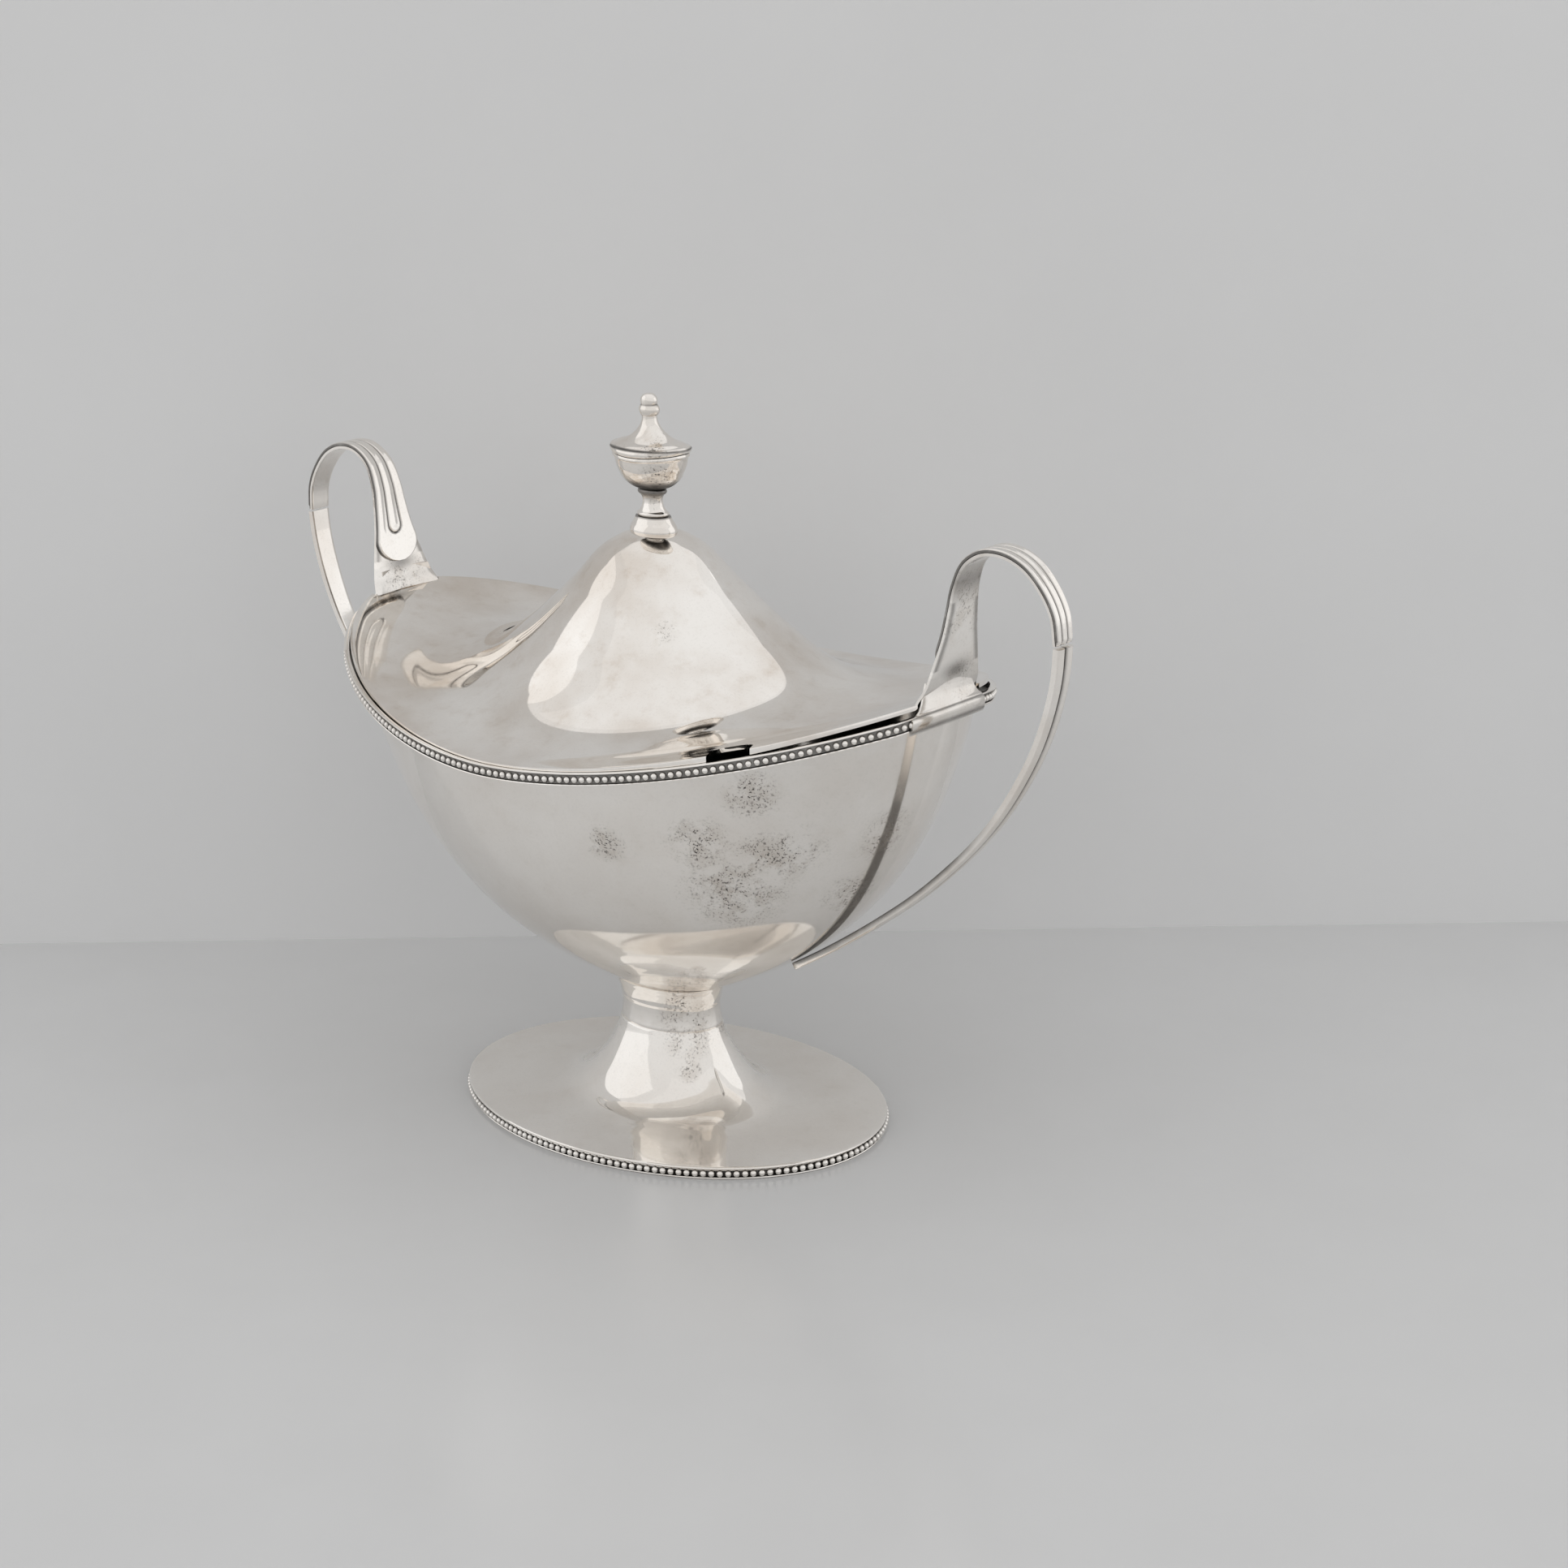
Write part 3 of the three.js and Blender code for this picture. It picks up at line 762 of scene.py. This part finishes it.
strip_path = through(RISING, 200)[22:]
reeded = slab("handle_reeds_right", 240, 56)
bent(reeded, strip_path, reeded_face, ease=1.12)
strip_oxide(reeded, strip_path)
finish_skin(reeded, 50)
reeded_left = second_handle(reeded, "handle_reeds_left")
reed_silver = silver("reed silver", 0.06, 0.3, wave=0.02)
dress(reeded, reed_silver, "vessel", "silver_reeds", "handle_reeded_strip_right")
dress(reeded_left, reed_silver, "vessel", "silver_reeds", "handle_reeded_strip_left")

# ---------------------------------------------------------------- handles, lower strap
# The thicker lower strap starts at the seam, sweeps in and tapers to a thin
# tip under the bowl, where a little solder shows. One deep groove, black with
# oxide, runs down the middle of its outer face.

FALLING = [
    (106.8, 121.8, 2.55),
    (106.2, 116.0, 2.5),
    (104.2, 108.0, 2.5),
    (101.2, 100.3, 2.45),
    (97.6, 93.6, 2.4),
    (92.2, 85.4, 2.3),
    (86.0, 78.0, 2.2),
    (78.9, 71.0, 2.1),
    (70.4, 63.6, 2.0),
    (62.0, 57.3, 1.9),
    (53.2, 51.2, 1.8),
    (44.5, 45.6, 1.6),
    (36.0, 40.6, 1.2),
]
LOWER = 1.7


def lower_face(way, whole, across, half, outside):
    left = whole - way
    wide = across * rounded_end(left * 0.4, half)
    edge = 0.14 * max(0.0, abs(across) - 0.85) / 0.15
    if not outside:
        return wide, edge
    y = abs(wide * half)
    depth = 0.5 * min(1.0, left / 12)
    cut = depth * math.exp(-((y / 0.42) ** 2))
    round_off = 0.22 * across**4
    return wide, LOWER - cut - round_off - edge


lower_strap = slab("handle_lower_right", 200, 30)
bent(lower_strap, FALLING, lower_face)
finish_skin(lower_strap, 45)


def lower_oxide(piece):
    line = through(FALLING, 400)

    def at(p):
        i = np.argmin((line[:, 0] - p.x) ** 2 + (line[:, 1] - p.z) ** 2)
        off = math.hypot(line[i, 0] - p.x, line[i, 1] - p.z)
        if off > 0.5:
            return min(1.0, 1.1 * math.exp(-((p.y / 0.36) ** 2)))
        return 0.85 * min(1.0, max(0.0, (86 - p.z) / 14))

    blacken(piece, at)


lower_oxide(lower_strap)
lower_left = second_handle(lower_strap, "handle_lower_left")
dress(lower_strap, strap_silver, "vessel", "silver_straps", "handle_lower_strap_right")
dress(lower_left, strap_silver, "vessel", "silver_straps", "handle_lower_strap_left")

# ---------------------------------------------------------------- lid
# The lid is raised from one sheet: a tall dome flows out into a flange that
# follows the boat line. It has a short skirt, an arched notch for the spoon,
# and a cut-out at each end for the root of the handle.

lid_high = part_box("lid_shell")[1]
LID_RADIUS = 67.9
LID_EDGE = 93.0
LID_CROWN = lid_high.z / MM - LID_EDGE
LID_SWEEP = 15.4
SKIRT = 1.8
STUD_HOLE = 1.3


def lid_plan(radius, angle, height):
    share = radius / LID_RADIUS
    half_length = radius * HALF_LENGTH / PLAN_RADIUS
    half_width = half_length * (HALF_WIDTH / HALF_LENGTH + 0.29 * (1 - share))
    x, y = oval(angle, half_length, half_width, 2 + (RIM_POWER - 2) * share)
    fade = 0.95 * min(1.0, 1.3 * end_share(angle)) if share > 0.97 else 0.0
    height += fade * max(0.0, -SHEET - 0.12 - height)
    return x, y, LID_EDGE + height + LID_SWEEP * end_share(angle) * share**2.3


dome = [
    (STUD_HOLE, LID_CROWN),
    (0.07 * LID_RADIUS, LID_CROWN - 0.45),
    (0.12 * LID_RADIUS, LID_CROWN - 2.3),
    (0.24 * LID_RADIUS, LID_CROWN - 11.6),
    (0.38 * LID_RADIUS, 15.8),
    (0.55 * LID_RADIUS, 6.0),
    (0.75 * LID_RADIUS, 1.5),
    (LID_RADIUS, 0),
]
dome = through(dome, 110)
ceiling = beside(dome, -SHEET)
lid_section = [
    *dome[:-1],
    (LID_RADIUS - 0.2, 0.0),
    (LID_RADIUS - 0.05, -0.06),
    (LID_RADIUS, -0.22),
    (LID_RADIUS, -SKIRT + 0.15),
    (LID_RADIUS - 0.12, -SKIRT),
    (LID_RADIUS - SHEET + 0.1, -SKIRT),
    (LID_RADIUS - SHEET, -SKIRT + 0.1),
    (LID_RADIUS - SHEET, -SHEET - 0.1),
    *ceiling[1:-2][::-1],
    (STUD_HOLE, LID_CROWN - SHEET),
    tuple(dome[0]),
]
lid = raised("lid", lid_section, 320, lid_plan)


def cut_away(piece, tool):
    """Cuts the tool's shape out of the piece, then throws the tool away."""
    put_down()
    bpy.context.view_layer.objects.active = piece
    piece.select_set(True)
    cut = piece.modifiers.new("cut", "BOOLEAN")
    cut.operation = "DIFFERENCE"
    cut.solver = "EXACT"
    cut.object = tool
    bpy.ops.object.modifier_apply(modifier=cut.name)
    bpy.data.objects.remove(tool)


def punch(size, place, turn, corner):
    """A block with its four upright corners rounded, at its place in its mesh."""
    put_down()
    bpy.ops.mesh.primitive_cube_add(size=1)
    made = bpy.context.object
    bpy.ops.object.mode_set(mode="EDIT")
    bpy.ops.mesh.select_mode(type="EDGE")
    bpy.ops.mesh.select_all(action="DESELECT")
    bpy.ops.object.mode_set(mode="OBJECT")
    made.data.transform(Matrix.Diagonal((size[0] * MM, size[1] * MM, size[2] * MM, 1)))
    for e in made.data.edges:
        a, b = (made.data.vertices[i].co for i in e.vertices)
        e.select = abs(a.z - b.z) > 0.5 * size[2] * MM
    bpy.ops.object.mode_set(mode="EDIT")
    bpy.ops.mesh.bevel(offset=corner * MM, segments=8, profile=0.5)
    bpy.ops.mesh.select_mode(type="VERT")
    bpy.ops.object.mode_set(mode="OBJECT")
    spot = Matrix.Translation(Vector(place) * MM) @ Matrix.Rotation(turn, 4, "Z")
    made.data.transform(spot)
    return made


NOTCH_WIDTH, NOTCH_DEPTH, NOTCH_CORNER = 8.8, 7.6, 3.2
NOTCH_TURN = 0.566
inward = Vector((-math.sin(NOTCH_TURN), math.cos(NOTCH_TURN), 0))
notch_centre = Vector((54.1, -38.7, 100)) - inward * (12 - NOTCH_DEPTH)
cut_away(lid, punch((NOTCH_WIDTH, 24, 30), notch_centre, NOTCH_TURN, NOTCH_CORNER))
for end in (-1, 1):
    cut_away(lid, punch((20, 20, 30), (end * 87.9, 0, 106), 0, 1.0))
finish_skin(lid)
lid_marks = [((15.5, -14.5, 112.5), 5)]
dress(
    lid,
    silver("lid silver", 0.035, 0.8, lid_marks, 0.9, wave=0.1),
    "lid",
    "silver_lid",
    "lid_shell",
)

# ---------------------------------------------------------------- finial
# A cast urn on a turned pedestal stands on the crown: a cushion base, a waisted
# pedestal, an oval cup, an ogee cover with a thick lip, and a knob of two balls.

FINIAL_RATIO = 0.7
BORE = 1.15


def finial_plan(radius, angle, height):
    ratio = 1 - (1 - FINIAL_RATIO) * min(1.0, max(0.0, (radius - BORE) / 1.2))
    sweep = 0.7 * (math.cos(angle) * radius / 9.8) ** 2 if 143 < height < 152 else 0.0
    return radius * math.cos(angle), radius * ratio * math.sin(angle), height + sweep


def turned(name, outline, node, solid, dark):
    """A cast and turned piece of the finial, blackened where dark says."""
    outline = [tuple(p) for p in outline]
    if solid:
        section = [(0, outline[0][1]), *outline, (0, outline[-1][1])]
    else:
        section = [(BORE, outline[0][1]), *outline, (BORE, outline[-1][1]), (BORE, outline[0][1])]
    made = raised(name, section, 96, finial_plan, crease=38)
    blacken(made, dark)
    dress(made, finial_silver, "lid", "silver_finial", node)


def soot(low, high, strength=1.0):
    """Black between two heights, fading at both."""

    def at(p):
        return strength * max(0.0, 1 - (2 * (p.z - low) / (high - low) - 1) ** 2)

    return at


urn_marks = [((6, -5, 143), 6), ((4, -3, 138), 5), ((5, -5, 150), 5)]
finial_silver = silver("finial silver", 0.06, 0.7, urn_marks, 0.9, wave=0.03)
cushion = [(5.5, 130.3), (5.8, 130.65), (5.85, 131.3), (5.6, 132.0), (5.0, 132.9), (4.3, 134.1)]
cushion = [(1.3, 130.9), (3.0, 130.7), (4.6, 130.2), *through(cushion, 20)]
turned("finial_cushion", cushion, "finial_base", False, soot(133.8, 134.5, 0.8))
waist = through([(3.7, 134.2), (3.95, 134.5), (3.95, 134.8), (3.6, 135.1)], 8)
narrow = [(3.4, 135.2), (2.9, 135.9), (2.5, 137.0), (2.55, 138.0), (2.9, 138.8)]
waist = [*waist, *through(narrow, 20)]
waist = [*waist, *through([(3.2, 138.95), (3.5, 139.2), (3.5, 139.8), (3.2, 140.1)], 8)]
turned("finial_stem", waist, "finial_pedestal", False, soot(137.8, 141.4, 0.75))
cup = [(2.9, 140.1), (4.2, 140.4), (5.9, 141.3), (7.4, 142.7), (8.5, 144.5), (9.05, 146.6)]
cup = [*through(cup, 26), (9.2, 146.75), (9.45, 146.9), (9.5, 147.2), (9.35, 147.5), (8.6, 147.6)]
turned("finial_urn", cup, "finial_cup", False, soot(138.6, 142.6, 1.0))
lip = through([(9.2, 147.6), (9.75, 147.8), (9.95, 148.4), (9.7, 149.0), (9.3, 149.15)], 10)
ogee = [(9.05, 149.2), (8.2, 149.7), (6.3, 150.4), (4.7, 151.3), (3.5, 152.4)]
ogee = through([*ogee, (2.7, 153.3), (2.1, 154.2), (1.8, 155.0), (1.75, 155.7)], 44)
turned("finial_cap", [*lip, *ogee], "finial_cover", True, soot(148.9, 149.5, 0.9))
lower_ball = through([(1.6, 155.6), (2.2, 156.0), (2.55, 156.7), (2.5, 157.4), (2.0, 158.0)], 16)
upper_ball = [(1.85, 158.1), (2.05, 158.7), (1.95, 159.4), (1.45, 160.0)]
upper_ball = through([*upper_ball, (0.6, 160.4), (0.05, 160.45)], 14)
two_balls = [*lower_ball, *upper_ball]
turned("finial_balls", two_balls, "finial_knob", True, soot(157.8, 158.3, 0.6))

# ---------------------------------------------------------------- fixings
# A threaded stud, a washer and a nut under the crown hold the finial. They are
# never polished, so they keep a dull grey skin.

dull_silver = silver("dull silver", 0.3, 0.9, wave=0.01)
for name in ("finial_stud", "finial_washer", "finial_nut"):
    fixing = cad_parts[name]
    fixing.data.materials.clear()
    fixing.data.materials.append(dull_silver)

# ---------------------------------------------------------------- room
# A pale table with a grey card behind it, large soft lights on both sides and
# overhead, and the camera.


def plain(name, tone, rough, grain):
    """Pale painted board: a faint mottle in tone, with one even gloss."""
    paint = bpy.data.materials.new(name)
    paint.use_nodes = True
    nodes, links = paint.node_tree.nodes, paint.node_tree.links
    shader = nodes["Principled BSDF"]
    place = nodes.new("ShaderNodeTexCoord").outputs["Object"]
    mottle = nodes.new("ShaderNodeTexNoise")
    mottle.inputs["Scale"].default_value = grain
    mottle.inputs["Detail"].default_value = 5
    links.new(place, mottle.inputs["Vector"])
    mix = nodes.new("ShaderNodeMix")
    mix.data_type = "RGBA"
    mix.inputs[6].default_value = (tone * 0.97, tone * 0.97, tone * 0.97, 1)
    mix.inputs[7].default_value = (tone * 1.03, tone * 1.03, tone * 1.03, 1)
    links.new(mottle.outputs["Fac"], mix.inputs[0])
    links.new(mix.outputs[2], shader.inputs["Base Color"])
    shader.inputs["Roughness"].default_value = rough
    return paint


def sheet_at(name, corners, paint):
    put_down()
    bpy.ops.mesh.primitive_plane_add(size=1)
    made = bpy.context.object
    made.name = made.data.name = name
    order = (0, 1, 3, 2)
    for k, corner in zip(order, corners):
        made.data.vertices[k].co = corner
    made.data.materials.append(paint)
    return made


SEAM_LEFT, SEAM_RIGHT = Vector((-0.209, -0.030, 0)), Vector((0.103, 0.2235, 0))
seam = (SEAM_RIGHT - SEAM_LEFT).normalized()
middle = (SEAM_LEFT + SEAM_RIGHT) / 2
floor_paint = plain("table", 0.65, 0.2, 30)
corners = [Vector((-3, -3, 0)), Vector((3, -3, 0)), Vector((3, 3, 0)), Vector((-3, 3, 0))]
sheet_at("table", corners, floor_paint)

card_paint = plain("grey card", 0.79, 0.7, 18)
links, nodes = card_paint.node_tree.links, card_paint.node_tree.nodes
side = nodes.new("ShaderNodeNewGeometry")
clear = nodes.new("ShaderNodeBsdfTransparent")
either = nodes.new("ShaderNodeMixShader")
links.new(side.outputs["Backfacing"], either.inputs["Fac"])
links.new(nodes["Principled BSDF"].outputs["BSDF"], either.inputs[1])
links.new(clear.outputs["BSDF"], either.inputs[2])
links.new(either.outputs["Shader"], nodes["Material Output"].inputs["Surface"])
CARD_HALF, CARD_HEIGHT = 0.27, 0.30
low_left, low_right = middle - seam * CARD_HALF, middle + seam * CARD_HALF
rise = Vector((0, 0, CARD_HEIGHT))
sheet_at("grey_card", [low_left, low_right, low_right + rise, low_left + rise], card_paint)


def soft_light(name, azimuth, distance, height, size, radiance):
    """A soft box facing the bowl. Azimuth 0 stands in front along -Y, and 90 along +X."""
    lamp = bpy.data.lights.new(name, "AREA")
    lamp.shape = "RECTANGLE"
    lamp.size, lamp.size_y = size
    lamp.energy = radiance * math.pi * size[0] * size[1]
    box = bpy.data.objects.new(name, lamp)
    turn = math.radians(azimuth)
    box.location = (distance * math.sin(turn), -distance * math.cos(turn), height)
    box.rotation_euler = (Vector((0, 0, 0.08)) - box.location).to_track_quat("-Z", "Y").to_euler()
    bpy.context.collection.objects.link(box)


soft_light("left soft box", -60, 1.0, 0.42, (1.25, 1.0), 0.19)
soft_light("right soft box", 130, 1.0, 0.42, (1.3, 1.0), 0.19)
soft_light("overhead", 43, 0.15, 1.5, (2.2, 2.2), 0.05)

room = bpy.data.worlds.new("room")
room.use_nodes = True
room.node_tree.nodes["Background"].inputs["Color"].default_value = (0.82, 0.82, 0.82, 1)
bpy.context.scene.world = room

camera = bpy.data.cameras.new("camera")
camera.lens = 75.94
camera.sensor_width = 36
camera.clip_start, camera.clip_end = 0.01, 20
eye = bpy.data.objects.new("camera", camera)
yaw, pitch, roll = -0.7172, 0.3023, -0.0262
eye.matrix_world = (
    Matrix.Translation((0.47301, -0.5023, 0.28844))
    @ Matrix.Rotation(-yaw, 4, "Z")
    @ Matrix.Rotation(math.pi / 2 - pitch, 4, "X")
    @ Matrix.Rotation(roll, 4, "Z")
)
bpy.context.collection.objects.link(eye)
bpy.context.scene.camera = eye
bpy.context.scene.view_settings.view_transform = "Standard"
